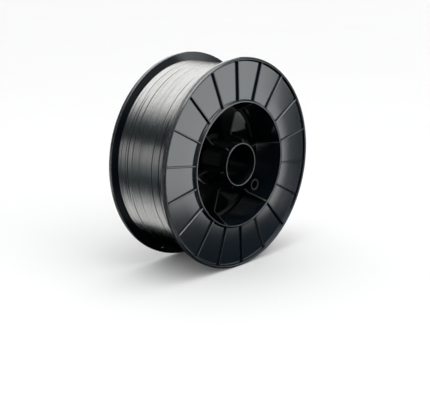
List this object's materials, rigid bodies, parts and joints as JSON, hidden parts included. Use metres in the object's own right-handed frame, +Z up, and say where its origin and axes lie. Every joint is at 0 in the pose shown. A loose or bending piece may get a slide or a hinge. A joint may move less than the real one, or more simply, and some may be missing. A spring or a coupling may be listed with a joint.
{
  "type": "spool of flux-cored welding wire",
  "caption": "Black plastic wire spool with ribbed flanges, spoked hub, spindle bore and drive hole, wound full with flux-cored steel wire.",
  "frame": {"origin": "middle of the spindle bore, half way between the two flange faces", "axes": "+Y along the spool axis from the front flange to the rear flange, +Z up as the spool stands on its rims, +X to the right seen from the front"},
  "size_m": [0.28, 0.103, 0.28],
  "materials": {
    "spool_plastic": "black injection-moulded polystyrene, satin",
    "wire_steel": "bright drawn steel-sheathed wire, level wound"
  },
  "bodies": {
    "root": {"front_half": "spool_plastic", "rear_half": "spool_plastic", "wire_winding": "wire_steel"}
  },
  "joints": []
}
